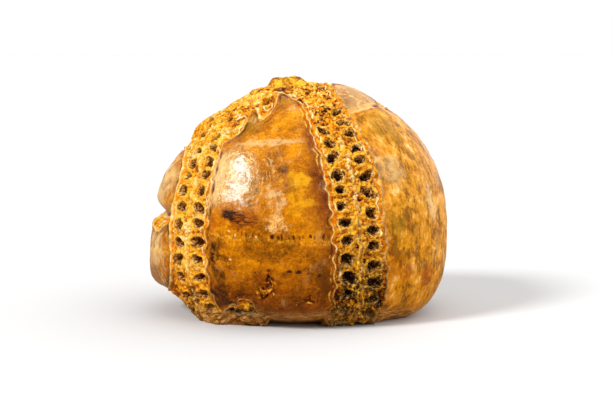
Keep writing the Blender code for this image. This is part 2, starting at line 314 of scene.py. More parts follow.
def nearestOf(azimuth, rows):
    turns = wrap(azimuth - rows)
    nearest = np.abs(turns).argmin(axis=0)
    return nearest, turns[nearest, np.arange(len(azimuth))]


def bandHalfWidth(radius, arc):
    width = np.minimum(bands["topHalfWidth"] + bands["widening"] * radius, bands["halfWidth"])
    under = smooth(38 * mm, 44 * mm, arc)
    narrow = np.minimum(width, radius * bands["baseShare"] * math.pi / sectors)
    return width + (narrow - width) * under


def layPitRows():
    rng = np.random.default_rng(pits["seed"])
    rows = []
    for band in range(sectors):
        for side in (-1, 1):
            arc, arcs = pits["starts"][band][int(side > 0)] * mm, []
            while arc < pits["lastArc"]:
                arcs.append(arc)
                swell = math.sin(math.pi * (arc - 2 * mm) / (56 * mm))
                arc += pits["pitchEnds"] + (pits["pitchGirth"] - pits["pitchEnds"]) * swell
            count = len(arcs)
            arcs = np.array(arcs) + rng.uniform(-1, 1, count) * pits["jitter"]
            size = pits["radius"] * (0.6 + 0.4 * np.sin(math.pi * np.clip((arcs - 2 * mm) / (54 * mm), 0,
                                                                          1)))
            rows.append({
                "band": band,
                "side": side,
                "arc": arcs,
                "shift": rng.uniform(-1, 1, count) * 0.14 * mm,
                "wide": size * rng.uniform(0.9, 1.4, count),
                "tall": size * rng.uniform(0.72, 1.15, count),
                "lean": rng.uniform(-0.5, 0.5, count),
                "deep": rng.uniform(0.65, 1.1, count),
            })
    return rows


pitRows = layPitRows()


def besideRow(arc, row):
    # the two pits of a row nearest to each point
    middle = np.searchsorted(row["arc"], arc)
    return [np.clip(middle + neighbour, 0, len(row["arc"]) - 1) for neighbour in (-1, 0)]


def scallops(arc, rowNumber):
    # 1 level with a pit, 0 between two
    swing = np.zeros(len(arc))
    for number, row in enumerate(pitRows):
        mine = np.flatnonzero(rowNumber == number)
        for k in besideRow(arc[mine], row):
            level = bump(arc[mine] - row["arc"][k], rims["scallopLength"])
            swing[mine] = np.maximum(swing[mine], level)
    return swing


def pitReach(lateral, arc, band, half):
    # distance from the nearest pit's middle, 1 at its edge, and how deep that pit is
    nearest, deep = np.full(len(arc), 4.0), np.ones(len(arc))
    for row in pitRows:
        mine = np.flatnonzero(band == row["band"])
        for k in besideRow(arc[mine], row):
            column = row["side"] * pits["column"] * half[mine] + row["shift"][k]
            along = (arc[mine] - row["arc"][k]) / row["tall"][k]
            across = (lateral[mine] - column) / row["wide"][k] + row["lean"][k] * along
            reach = (np.abs(across) ** 2.4 + np.abs(along) ** 2.4) ** (1 / 2.4)
            closer = reach < nearest[mine]
            deep[mine] = np.where(closer, row["deep"][k], deep[mine])
            nearest[mine] = np.minimum(nearest[mine], reach)
    return nearest, deep


def oval(azimuth, arc, radius, place, power=2.0):
    # 0 at the middle of a patch laid on the stone, 1 at its edge
    patchAzimuth, patchArc, halfWidth, halfLength = place
    across = np.abs(radius * wrap(azimuth - patchAzimuth * deg)) / (halfWidth * mm)
    along = np.abs(arc - patchArc * mm) / (halfLength * mm)
    return (across ** power + along ** power) ** (1 / power)


def rimDistance(lateral, azimuth, radius, arc, panel, sector, wobble):
    # below 0 inside a panel, above 0 in the crust
    side = (lateral > 0).astype(int)
    rowNumber = np.where(side > 0, 2 * ((panel + 1) % sectors), 2 * panel + 1)
    half = np.maximum(radius * sector - bandHalfWidth(radius, arc), 0.4 * mm)
    swing = rims["scallop"] * smooth(8 * mm, 14 * mm, arc) * (0.4 - scallops(arc, rowNumber))
    edge = half + rims["wave"] * wave(arc, 2 * panel + side) + wobble + swing
    above = np.maximum(panels["tips"][panel] + panels["arch"] - arc, 0)
    below = np.maximum(arc - panels["ends"][panel] + panels["arch"], 0)
    across, along = lateral / edge, (above + below) / panels["arch"]
    reach = np.maximum(np.hypot(across, along), 1e-9)
    steepness = np.maximum(np.hypot(across / edge, along / panels["arch"]), 1e-9)
    rim = (reach - 1) * reach / steepness
    for tongue in panels["tongues"]:
        inside = (1 - oval(azimuth, arc, radius, tongue, 2.6)) * min(tongue[2:]) * mm - wobble
        rim = larger(rim, inside, 0.3 * mm)
    return rim, half


def disc(azimuth, arc):
    edge = bump(arc - 0.7 * ends["discRadius"], mm)
    plates = ends["plateHeight"] * np.cos(ends["discPlates"] * azimuth) * edge
    return (ends["discHeight"] + plates) * (1 - smooth(0.7, 1.25, arc / ends["discRadius"]))


def lumps(azimuth, arc, radius):
    height = np.zeros(len(arc))
    for lumpAzimuth, lumpArc, reach, rise in body["lumps"]:
        across = radius * wrap(azimuth - lumpAzimuth * deg)
        height += rise * mm * bump(np.hypot(across, arc - lumpArc * mm), reach * mm)
    return height


# the fine mesh

stone = {
    "sphereCuts": 9,
    "crowding": 0.55,       # how much the points crowd into the bands
    "faces": 190000,
    "panelRoll": 0.06 * mm,
    "cutAt": 170 * deg,     # where the side is cut open when it is laid out flat
    "rubble": (             # rough broken places in the front panel: azimuth, arc, half width, half length
        (-11.0, 34.2, 0.75, 1.3),
        (-14.6, 35.3, 0.80, 0.9),
        (4.1, 36.0, 0.85, 0.65),
    ),
    "rubbleHeight": 0.3 * mm,
}


def stoneFields(directions, points):
    # everything that the relief and the colours are laid out by
    azimuth = np.arctan2(directions[:, 0], -directions[:, 1])
    arc = body["arcPerRadian"] * np.arccos(np.clip(directions[:, 2], -1, 1))
    radius = np.hypot(points[:, 0], points[:, 1])
    rows = bandAzimuths(arc)
    band, bandTurn = nearestOf(azimuth, rows[:sectors])
    panel, panelTurn = nearestOf(azimuth, (rows[:-1] + rows[1:]) / 2)
    sector = ((rows[1:] - rows[:-1]) / 2)[panel, np.arange(len(panel))]
    wobble = rims["wobble"] * gradientNoise(points, 0.7 * mm, 11)
    wobble += rims["sway"] * gradientNoise(points, 2.1 * mm, 13)
    lateral = radius * panelTurn
    rim, half = rimDistance(lateral, azimuth, radius, arc, panel, sector, wobble)

    fromBand = radius * bandTurn
    reach, deep = pitReach(fromBand, arc, band, bandHalfWidth(radius, arc))
    reach += 0.36 * layeredNoise(points, 0.7 * mm, 17, 2)
    low = smooth(27 * mm, 35 * mm, arc)     # low down the bands are clogged and cracked
    low = np.where(band == 1, low, 0.4 * low)
    reach -= low * (0.1 + 0.55 * gradientNoise(points, 1.3 * mm, 19))
    zigzag = 0.18 * mm * wave(arc, 20 + 3.0 * band)

    hollow, hollowDepth = np.full(len(arc), 4.0), np.zeros(len(arc))
    shake = 0.22 * gradientNoise(points, 0.6 * mm, 23)
    for place in pits["hollows"]:
        away = oval(azimuth, arc, radius, place[:4]) + shake
        hollowDepth = np.where(away < hollow, place[4] * mm, hollowDepth)
        hollow = np.minimum(hollow, away)

    folds = np.minimum(2.4 * np.abs(layeredNoise(points, crust["foldSize"], 61, 3)), 1)
    # the crust is melted smooth on the left, and here and there elsewhere
    leftward = 1 - smooth(-18 * deg, 2 * deg, azimuth)
    melt = np.clip(0.75 * leftward + 0.7 * smooth(0.0, 0.5, gradientNoise(points, 3.5 * mm, 71)), 0, 1)
    rubble = np.full(len(arc), 4.0)
    for place in stone["rubble"]:
        rubble = np.minimum(rubble, oval(azimuth, arc, radius, place) + 1.6 * shake)

    crumb, crumbTone = pebbles(points, crust["crumbSize"], crust["seed"])
    grain, grainTone = pebbles(points, crust["grainSize"], crust["seed"] + 1)
    return {
        "azimuth": azimuth, "arc": arc, "radius": radius, "panel": panel, "rim": rim, "half": half,
        "pit": reach, "deep": deep, "median": fromBand - zigzag, "hollow": hollow,
        "hollowDepth": hollowDepth, "crumb": crumb, "crumbTone": crumbTone, "grain": grain,
        "grainTone": grainTone, "folds": folds, "melt": melt, "rubble": rubble,
        "suture": arc - panels["sutures"][panel] - 0.35 * mm * np.sin(3 * azimuth + 0.9),
        # where the right-hand panel runs into the crust with no clear edge
        "blurred": np.where(panel == 1, 1 - smooth(50 * deg, 60 * deg, azimuth), 0),
        "up": directions[:, 2] > 0, "fromSide": np.clip(1 - np.abs(lateral) / half, 0, 1),
    }


def stoneRelief(f, points):
    arc, rim = f["arc"], f["rim"]
    onCrust = smooth(-0.06 * mm, 0.22 * mm, rim)
    inward = np.clip(-rim / f["half"], 0, 1)
    swell = panels["swell"] * np.clip(f["half"] / (5 * mm), 0, 1) * (1 - (1 - inward) ** 2.6)
    height = swell * (1 - smooth(34 * mm, 41 * mm, arc)) - bands["sink"] * onCrust
    patchy = smooth(-0.5, 0.5, gradientNoise(points, 2.0 * mm, 53))
    height += rims["height"] * bump(rim - 0.02 * mm, rims["width"]) * (1 - 0.6 * f["blurred"])
    height += rims["innerHeight"] * bump(rim - rims["innerAt"], rims["innerWidth"]) * patchy
    groove = rims["grooveDepth"] * bump(rim + rims["grooveAt"],
                                        rims["grooveWidth"]) * (0.35 + 0.65 * patchy)
    height -= groove * (1 - 0.9 * f["blurred"])

    # pits with their lips, the raised line between their columns, and the odd hollows
    fade = smooth(8 * mm, 10 * mm, arc) * (1 - 0.45 * smooth(38 * mm, 44 * mm, arc))
    f["pitFade"] = fade * onCrust
    height -= pits["depth"] * f["deep"] * f["pitFade"] * (1 - smooth(0.42, 1.14, f["pit"]))
    inPit = f["pitFade"] * (1 - smooth(0.8, 1.1, f["pit"]))
    height += crust["floorRough"] * layeredNoise(points, 0.55 * mm, 67, 2) * inPit * (1 - 0.6 * f["melt"])
    height += pits["lipHeight"] * f["pitFade"] * bump(f["pit"] - 1.3, 0.28)
    height += pits["medianHeight"] * f["pitFade"] * bump(f["median"], pits["medianWidth"])
    height -= f["hollowDepth"] * (1 - smooth(0.35, 1.15, f["hollow"]))
    height += bands["footHeight"] * onCrust * bump(arc - bands["footArc"], bands["footLength"])

    mouth = ends["mouthDepth"] * (1 - smooth(0.45, 1.1, f["radius"] / ends["mouthRadius"]))
    height += np.where(f["up"], disc(f["azimuth"], arc), -mouth)
    ledge = panels["ledgeDepth"] * bump(arc - panels["ledgeArc"], panels["ledgeWidth"])
    height -= np.where(f["panel"] == panels["ledgePanel"], ledge, 0) * smooth(0, 0.3, f["fromSide"])
    height += lumps(f["azimuth"], arc, f["radius"])

    # crumbs and grains, coarser near the apex
    top = 1 - smooth(crust["topArc"] - 4 * mm, crust["topArc"], arc)
    cap = 1 - smooth(crust["capArc"] / 2, crust["capArc"], arc)
    solid = onCrust * (1 - 0.75 * np.where(f["up"], cap, 0))
    rolling = gradientNoise(points, crust["lumpSize"], crust["seed"] + 5)
    height += crust["lumpHeight"] * rolling * onCrust * (1 + 0.9 * f["melt"])
    height += crust["foldHeight"] * (f["folds"] - 0.6) * solid * (1 - inPit) * (1 - 0.25 * f["melt"])
    solid *= 1 - 0.8 * f["melt"]
    height += crust["crumbHeight"] * (f["crumb"] - 0.6) * (f["crumbTone"] + 0.3) * solid * (0.5 + 0.5 * top)
    height += crust["grainHeight"] * (f["grain"] - 0.6) * (f["grainTone"] + 0.3) * solid

    broken = 1 - smooth(0.6, 1.15, f["rubble"])
    height += stone["rubbleHeight"] * broken * (1.4 * f["folds"] - 1.5 + 0.5 * f["grain"])
    smoothPart = 1 - onCrust
    height += stone["panelRoll"] * layeredNoise(points, 2.4 * mm, 41) * smoothPart
    seam = bump(f["suture"], 0.2 * mm) + 0.6 * bump(f["suture"] - 4.15 * mm, 0.2 * mm)
    height -= panels["sutureDepth"] * seam * smoothPart * smooth(-0.6, 0.2,
                                                                 gradientNoise(points, 3 * mm, 43))
    return height


def stoneMesh():
    work = bmesh.new()
    bmesh.ops.create_icosphere(work, subdivisions=stone["sphereCuts"], radius=1)
    mesh = bpy.data.meshes.new("seaUrchin")
    work.to_mesh(mesh)
    work.free()
    directions = np.empty(len(mesh.vertices) * 3)
    mesh.vertices.foreach_get("co", directions)
    directions = unit(directions.reshape(-1, 3))

    azimuth = np.arctan2(directions[:, 0], -directions[:, 1])
    flat = np.hypot(directions[:, 0], directions[:, 1])
    azimuth -= stone["crowding"] * np.sin((azimuth - bands["azimuths"][0]) * sectors) / sectors
    directions = np.column_stack([flat * np.sin(azimuth), -flat * np.cos(azimuth), directions[:, 2]])

    points = dome(directions)
    fields = stoneFields(directions, points)
    height = stoneRelief(fields, points)
    points = points + domeNormals(directions) * height[:, None]
    points[:, 2] = np.maximum(points[:, 2], 0)
    # centred like the solid
    low, high = (np.array(corner) for corner in cadBox)
    middle = (points[:, :2].max(axis=0) + points[:, :2].min(axis=0)) / 2
    points[:, :2] += (low + high)[:2] / 2 - middle
    mesh.vertices.foreach_set("co", points.astype(np.float32).ravel())

    # the colours are laid out by the same fields, in mm where they are lengths
    fields["pit"] = np.where(fields["pitFade"] > 0.3, fields["pit"], 4.0)
    for name, scale in (
        ("rim", mm), ("median", mm), ("suture", mm), ("pit", 1), ("hollow", 1), ("crumb", 1),
        ("crumbTone", 1), ("grain", 1), ("grainTone", 1), ("folds", 1), ("melt", 1), ("rubble", 1),
    ):
        layer = mesh.attributes.new(name, "FLOAT", "POINT")
        layer.data.foreach_set("value", np.clip(fields[name] / scale, -20, 80).astype(np.float32))
    way = mesh.attributes.new("way", "FLOAT_VECTOR", "POINT")
    way.data.foreach_set("vector", directions.astype(np.float32).ravel())
    mesh.update()
    mesh.shade_smooth()
    return mesh


def unroll(mesh):
    # lay the side out flat in mm, cut open down the band at the back, for the streaks and patches
    way = np.empty(len(mesh.vertices) * 3, dtype=np.float32)
    mesh.attributes["way"].data.foreach_get("vector", way)
    mesh.attributes.remove(mesh.attributes["way"])
    way = unit(way.reshape(-1, 3).astype(float))
    azimuth = np.arctan2(way[:, 0], -way[:, 1])
    azimuth = np.where(azimuth > stone["cutAt"], azimuth - turn, azimuth)
    arc = body["arcPerRadian"] / mm * np.arccos(np.clip(way[:, 2], -1, 1))
    ring = unit(way * (1, 1, 0))
    for name, values in (("east", ring[:, 0]), ("south", -ring[:, 1]), ("arc", arc)):
        mesh.attributes.new(name, "FLOAT", "POINT").data.foreach_set("value", values.astype(np.float32))
    corners = np.empty(len(mesh.loops), dtype=np.int64)
    mesh.loops.foreach_get("vertex_index", corners)
    around = azimuth[corners].reshape(-1, 3)
    around = np.where(around.max(axis=1, keepdims=True) - around > math.pi, around + turn, around)
    flat = np.column_stack([around.ravel() * body["arcPerRadian"] / mm, arc[corners]])
    mesh.uv_layers.new(name="sheet").data.foreach_set("uv", flat.astype(np.float32).ravel())


def makeUrchin():
    urchin = bpy.data.objects.new("seaUrchinStone", stoneMesh())
    bpy.context.scene.collection.objects.link(urchin)
    count = len(urchin.data.polygons)
    if count > stone["faces"]:
        fewer = urchin.modifiers.new("fewerFaces", "DECIMATE")
        fewer.ratio = stone["faces"] / count
        evaluated = urchin.evaluated_get(bpy.context.evaluated_depsgraph_get())
        lighter = bpy.data.meshes.new_from_object(evaluated)
        urchin.modifiers.clear()
        urchin.data = lighter
    urchin.data.name = "seaUrchinStone"
    unroll(urchin.data)
    print("stone mesh:", len(urchin.data.polygons), "faces")
    return urchin


# small helpers for materials

def tones(**colours):
    # screen colours, 0 to 255, as the linear colours that a shader takes
    def linear(c):
        return ((c / 255 + 0.055) / 1.055) ** 2.4 if c > 10 else c / 3295

    return {name: tuple(linear(c) for c in rgb) + (1,) for name, rgb in colours.items()}


class Nodes:
    # a material's node tree, with one short call per kind of node
    def __init__(self, name):
        self.material = bpy.data.materials.new(name)
        self.material.use_nodes = True
        self.tree = self.material.node_tree
        self.shader = self.tree.nodes["Principled BSDF"]
        self.place = self.add("TexCoord", output="Object")

    def put(self, socket, value):
        if isinstance(value, bpy.types.NodeSocket):
            self.tree.links.new(value, socket)
        elif value is not None:
            socket.default_value = value

    def add(self, kind, *values, output=0, given=None, **settings):
        # a node with its settings, and its inputs filled in order or by name; gives one output
        node = self.tree.nodes.new("ShaderNode" + kind)
        for name, setting in settings.items():
            setattr(node, name, setting)
        for socket, value in zip(node.inputs, values):
            self.put(socket, value)
        for name, value in (given or {}).items():
            self.put(node.inputs[name], value)
        return node.outputs[output]

    def field(self, name):
        return self.add("Attribute", attribute_name=name, output="Fac")

    def noise(self, size, detail=3, roughness=0.55, distortion=0.0, stretch=(1, 1, 1), shift=0.0,
              place=None):
        # size is in mm, shift moves the pattern so that no two are alike; a sheet is in mm already
        perMm = 1 if place else 1000
        laid = self.add("Mapping", given={
            "Vector": place or self.place, "Location": (shift, shift * 1.7, -shift),
            "Scale": [perMm / size / s for s in stretch]})
        return self.add("TexNoise", output="Fac", given={
            "Vector": laid, "Scale": 1, "Detail": detail, "Roughness": roughness, "Distortion": distortion})

    def math(self, operation, a, b=None, c=None):
        return self.add("Math", a, b, c, operation=operation)

    def plus(self, total, value, share=1.0):
        return self.math("MULTIPLY_ADD", value, share, total)

    def minus(self, a, b):
        return self.math("SUBTRACT", a, b)

    def most(self, a, b):
        return self.math("MAXIMUM", a, b)

    def times(self, *values):
        total = values[0]
        for value in values[1:]:
            total = self.math("MULTIPLY", total, value)
        return total

    def apart(self, a, b):
        return self.math("ABSOLUTE", self.minus(a, b))

    def vector(self, operation, a, b=None, c=None, output=0):
        return self.add("VectorMath", a, b, c, operation=operation, output=output)

    def joined(self, x, y, z=0.0):
        return self.add("CombineXYZ", x, y, z)

    def between(self, value, low, high, start=0.0, end=1.0):
        # a smooth step: start at low and below, end at high and above
        return self.add("MapRange", value, low, high, start, end, interpolation_type="SMOOTHSTEP")

    def near(self, value, middle, width):
        # 1 at middle, 0 from width away
        return self.between(self.apart(value, middle), 0, width, 1, 0)

    def ramp(self, value, *stops):
        colours = self.add("ValToRGB", value)
        points = colours.node.color_ramp.elements
        while len(points) < len(stops):
            points.new(0.5)
        for point, (position, colour) in zip(points, stops):
            point.position = position
            point.color = colour
        return colours

    def tint(self, under, over, *shares, blend="MIX"):
        # over laid on under, as strongly as the shares multiplied together
        return self.add("Mix", self.times(*shares), *[None] * 5, under, over,
                        data_type="RGBA", blend_type=blend, output=2)

    def blendValues(self, share, under, over):
        return self.add("Mix", share, None, under, over)

    def patch(self, sheet, azimuth, arc, halfWidth, halfLength, tilt=0, core=0.45):
        # 1 inside an oval patch, 0 outside, on a sheet that is the stone's side unrolled, in mm
        away = self.vector("SUBTRACT", sheet, (azimuth * unrolled, arc, 0))
        wide = halfWidth / max(math.sin(arc / arcMm), 0.12)
        c, s = math.cos(tilt * deg), math.sin(tilt * deg)
        across = self.vector("DOT_PRODUCT", away, (c / wide, s / wide, 0), output="Value")
        along = self.vector("DOT_PRODUCT", away, (-s / halfLength, c / halfLength, 0), output="Value")
        squared = self.plus(self.times(across, across), along, along)
        return self.between(squared, core ** 2, 1.56, 1, 0)


# the stone's finish

arcMm = body["arcPerRadian"] / mm
unrolled = arcMm * deg      # mm of sheet for one degree of azimuth

amber = tones(
    deep=(100, 56, 0), brown=(146, 84, 0), honey=(190, 114, 0), gold=(222, 146, 0), pale=(242, 188, 56),
    stain=(48, 20, 5), lowShade=(184, 160, 110), edgeShade=(146, 96, 40), glow=(250, 186, 20),
    haze=(255, 232, 172), greyHaze=(226, 190, 128), cream=(248, 214, 150), rust=(160, 72, 4),
    grey=(164, 128, 84), olive=(132, 98, 10), peach=(250, 186, 116), earth=(92, 60, 24),
    white=(255, 250, 238),
)

crustLook = tones(
    gap=(50, 22, 2), rust=(150, 74, 0), orange=(240, 148, 0), straw=(252, 192, 44), cream=(255, 236, 170),
    edge=(255, 234, 168), pit=(16, 7, 2), pitBrown=(88, 46, 8), pitGold=(214, 150, 60),
    strip=(242, 140, 8), rubble=(98, 50, 0),
)

# the right-hand panel is dappled
dapple = tones(
    olive=(128, 80, 2), tan=(182, 118, 2), gold=(214, 144, 6), straw=(232, 164, 50), cream=(252, 218, 154),
)

earthLook = tones(dark=(70, 44, 14), brown=(172, 120, 52), pale=(236, 190, 124))

# worn and stained spots, with painted glow (the glow spots) and pale wear with painted sheen (the haze and
# grey haze spots): azimuth, arc, half width, half length, tilt, how strong, colour
marks = (
    (-30, 13.0, 2.6, 2.4, 0, 0.70, "olive"), (-2, 8.6, 2.2, 1.6, 0, 0.60, "olive"),
    (-14, 16.3, 4.6, 0.55, -1, 0.34, "haze"), (-40, 20.5, 1.4, 3.6, 0, 0.75, "greyHaze"),
    (-0.7, 21.7, 1.5, 1.1, 0, 0.50, "glow"), (0.5, 24.3, 1.4, 1.3, 0, 0.40, "glow"),
    (-9.7, 22.9, 1.3, 1.0, 0, 0.34, "haze"), (-8.0, 24.9, 1.0, 0.9, 0, 0.28, "haze"),
    (-6.5, 20.1, 0.75, 0.65, 0, 0.80, "stain"), (-4.6, 21.2, 0.35, 0.8, 12, 0.70, "rust"),
    (-16.4, 22.9, 0.25, 0.6, 24, 0.85, "earth"), (-35.0, 27.5, 0.7, 1.6, 0, 0.65, "rust"),
    (-33.0, 31.0, 0.95, 2.9, 3, 1.0, "stain"), (-33.4, 35.4, 1.5, 1.8, 0, 1.0, "stain"),
    (-30.5, 36.8, 0.8, 0.6, 30, 0.70, "stain"), (-12.0, 34.4, 1.5, 1.9, 0, 0.70, "rust"),
    (4.1, 36.0, 1.3, 0.90, -12, 0.60, "rust"), (9.5, 34.5, 0.7, 3.0, 0, 0.55, "stain"),
    (42, 20.8, 1.9, 2.4, 0, 0.60, "greyHaze"), (40, 27.6, 1.2, 1.8, 0, 0.65, "olive"),
    (50, 15.5, 2.4, 2.0, 0, 0.50, "olive"), (38, 17.5, 1.5, 1.6, 0, 0.40, "rust"),
    (46, 33.6, 1.0, 1.2, 0, 0.60, "rust"), (60, 25.5, 0.9, 2.6, 0, 0.60, "cream"),
    (63, 30.0, 0.6, 1.8, 0, 0.60, "grey"), (57, 34.0, 1.6, 1.8, 0, 0.60, "rust"),
    (38, 32.5, 1.5, 2.4, 0, 0.45, "rust"), (62, 9.0, 3.4, 2.4, 0, 0.60, "grey"),
    (46, 11.0, 1.8, 1.1, 0, 0.50, "grey"), (92, 11.2, 3.4, 2.0, 0, 0.60, "grey"),
    (-84, 22.6, 6.0, 3.6, 0, 0.60, "cream"), (-73, 30.5, 2.6, 3.0, 0, 0.55, "cream"),
    (-76, 31.5, 1.1, 1.6, 0, 0.55, "olive"), (8, 2.5, 1.0, 0.6, 0, 0.90, "grey"),
    (-60, 1.6, 2.2, 1.2, 0, 0.60, "rust"),
)

# spots on the crust at the lower left: painted shade in a dark recess, a pale nodule beside it and a curl
# over both
crustMarks = (
    (-29.0, 38.4, 1.2, 0.6, 0, 1.0, "pit"),
    (-22.5, 37.4, 0.8, 0.6, -8, 0.8, "straw"),
    (-23.0, 39.0, 2.0, 0.3, 4, 0.5, "cream"),
)

# where the front plates meet: a dark tick at each azimuth and arc, with its size and strength
frontTicks = (
    (-10.2, 28.30, 0.24, 0.36, 0.95), (-7.8, 28.42, 0.20, 0.30, 0.80), (-6.5, 28.40, 0.17, 0.40, 0.90),
    (-2.0, 28.32, 0.17, 0.36, 0.85), (-3.6, 28.45, 0.10, 0.22, 0.70), (0.3, 28.30, 0.12, 0.28, 0.65),
    (1.6, 28.30, 0.11, 0.24, 0.55), (4.0, 28.25, 0.20, 0.26, 0.90), (5.5, 28.35, 0.12, 0.28, 0.60),
    (9.1, 28.36, 0.18, 0.40, 0.85), (-21.8, 28.0, 0.12, 0.34, 0.60), (-20.2, 28.2, 0.12, 0.30, 0.65),
    (-17.4, 28.2, 0.12, 0.34, 0.60), (-14.8, 28.1, 0.10, 0.30, 0.50), (-23.4, 27.6, 0.14, 0.26, 0.55),
    (-3.7, 32.40, 0.34, 0.22, 0.95), (-0.3, 32.55, 0.40, 0.22, 0.95), (7.4, 32.95, 0.22, 0.26, 0.85),
    (-11.3, 32.30, 0.24, 0.20, 0.80), (-16.4, 32.7, 0.14, 0.16, 0.70), (3.4, 32.8, 0.14, 0.14, 0.50),
)

# small white crystals, their sparkle painted as cream glints
sparkles = (
    (-27.2, 27.85, 0.12), (-24.8, 28.2, 0.16), (-18.8, 28.35, 0.10), (-16.1, 28.35, 0.13), (-25.8, 31.2,
                                                                                            0.10),
    (-13.5, 34.9, 0.12), (-10.0, 35.2, 0.11),
)


def stoneMaterial():
    n = Nodes("amberStone")
    rim, pit, median, suture, hollow = (n.field(name) for name in ("rim", "pit", "median", "suture",
                                                                   "hollow"))
    crumb, crumbTone, grainTop, folds = (n.field(name) for name in ("crumb", "crumbTone", "grain", "folds"))

    # where each point is on the stone: azimuth and arc, and the side unrolled into a sheet
    azimuth, arc = n.math("ARCTAN2", n.field("east"), n.field("south")), n.field("arc")
    laidOut = n.add("UVMap", uv_map="sheet")
    flatSheet = n.joined(n.times(azimuth, arcMm), arc)
    drift = n.joined(*(n.minus(n.noise(0.9, 4, 0.65, shift=s), 0.5) for s in (8.8, 29.3)))
    sheet = n.vector("MULTIPLY_ADD", drift, (1.7, 1.7, 0), flatSheet)
    tightSheet = n.vector("MULTIPLY_ADD", drift, (0.6, 0.6, 0), flatSheet)
    loose = n.joined(*(n.minus(n.noise(1.8, 5, 0.68, shift=s), 0.5) for s in (31.8, 33.3)))
    looseSheet = n.vector("MULTIPLY_ADD", loose, (6.5, 6.5, 0), flatSheet)

    def within(low, high, edge=5):
        # 1 between two azimuths, fading over a few degrees
        return n.times(n.between(azimuth, (low - edge) * deg, low * deg),
                       n.between(azimuth, high * deg, (high + edge) * deg, 1, 0))

    front, right, leftBand = within(-52, 16), within(36, 92), within(-92, -30)

    # amber of the panels: clouds, blotches and grain, with upright streaks on the sides
    clouds = n.noise(5.0, 4, 0.6, 0.6, shift=3.1)
    blotches = n.noise(1.5, 6, 0.66, 0.5, shift=7.7)
    upright = n.noise(0.7, 6, 0.7, 0.4, stretch=(1, 4.5, 1), shift=4.4, place=laidOut)
    level = n.noise(0.6, 6, 0.7, 0.3, stretch=(2.6, 1, 1), shift=5.2, place=laidOut)
    fine = n.noise(0.22, 5, 0.7, shift=1.9)
    speck = n.noise(0.42, 5, 0.7, shift=6.1)
    streaks = n.blendValues(n.times(front, 0.75), upright, level)
    blend = n.times(clouds, 0.30)
    blend = n.plus(blend, blotches, 0.24)
    blend = n.plus(blend, streaks, 0.20)
    blend = n.plus(blend, fine, 0.28)
    blend = n.plus(n.minus(blend, 0.002), n.between(arc, 14, 22), -0.02)
    blend = n.plus(blend, n.minus(speck, 0.5), n.between(arc, 20, 34, 0.05, 0.17))
    colour = n.ramp(
        blend, (0.38, amber["deep"]), (0.45, amber["brown"]), (0.51, amber["honey"]),
        (0.58, amber["gold"]), (0.68, amber["pale"]))
    low = n.between(arc, 27, 37)
    colour = n.tint(colour, amber["lowShade"], low, 0.8, blend="MULTIPLY")
    colour = n.tint(colour, amber["pale"], n.between(speck, 0.60, 0.72, 0, 0.5))
    colour = n.tint(colour, amber["deep"], n.between(speck, 0.30, 0.40, 0.55, 0))
    # painted shade: the front panel darker along its right edge, where it turns away from the light
    farEdgeShade = n.times(n.between(azimuth, 0, 9 * deg), front, n.between(arc, 10, 17),
                      n.between(arc, 25, 29, 1, 0.35))
    colour = n.tint(colour, amber["edgeShade"], farEdgeShade, 0.75, blend="MULTIPLY")

    # the other panels are hazed over: pale scuffs and olive patches
    scuffs = n.noise(0.5, 7, 0.72, 0.6, stretch=(1, 2.4, 1), shift=15.5, place=laidOut)
    dappled = n.noise(2.0, 6, 0.72, 0.5, stretch=(1, 1.3, 1), shift=36.2, place=laidOut)
    upFine = n.noise(0.4, 5, 0.7, 0.4, stretch=(1, 3.2, 1), shift=37.1, place=laidOut)
    dappled = n.plus(n.times(dappled, 0.62), upFine, 0.34)
    dappled = n.plus(dappled, speck, 0.22)
    dappled = n.plus(n.minus(dappled, 0.105), n.between(arc, 22, 34), -0.02)
    colour = n.tint(colour, n.ramp(dappled, *zip((0.415, 0.455, 0.50, 0.55, 0.61), dapple.values())),
                    right, 0.9)
    sides = n.between(n.noise(6.0, 3, shift=21.7), 0.4, 0.6, 0.3, 0.8)
    sides = n.blendValues(n.most(front, n.times(right, 0.85)), sides, 0.0)
    mossy = n.times(sides, n.between(n.noise(2.0, 5, 0.65, shift=22.4), 0.42, 0.58))
    colour = n.tint(colour, amber["olive"], mossy, 0.5)
    patchy = n.between(n.noise(2.8, 4, 0.6, shift=34.4), 0.40, 0.60, 0.25, 1.0)
    colour = n.tint(colour, amber["cream"], sides, patchy, n.between(scuffs, 0.48, 0.60), 0.6)
    colour = n.tint(colour, amber["rust"], sides, n.between(scuffs, 0.38, 0.46, 1, 0), 0.65)

    for *place, strength, name in marks:
        broad = min(place[2:4]) > 0.85
        share = n.patch(looseSheet if broad else sheet, *place, 0.2)
        grit = n.between(blotches if strength < 0.7 else speck, 0.36, 0.56, 0.35, 1.0)
        colour = n.tint(colour, amber[name], share, grit, strength)
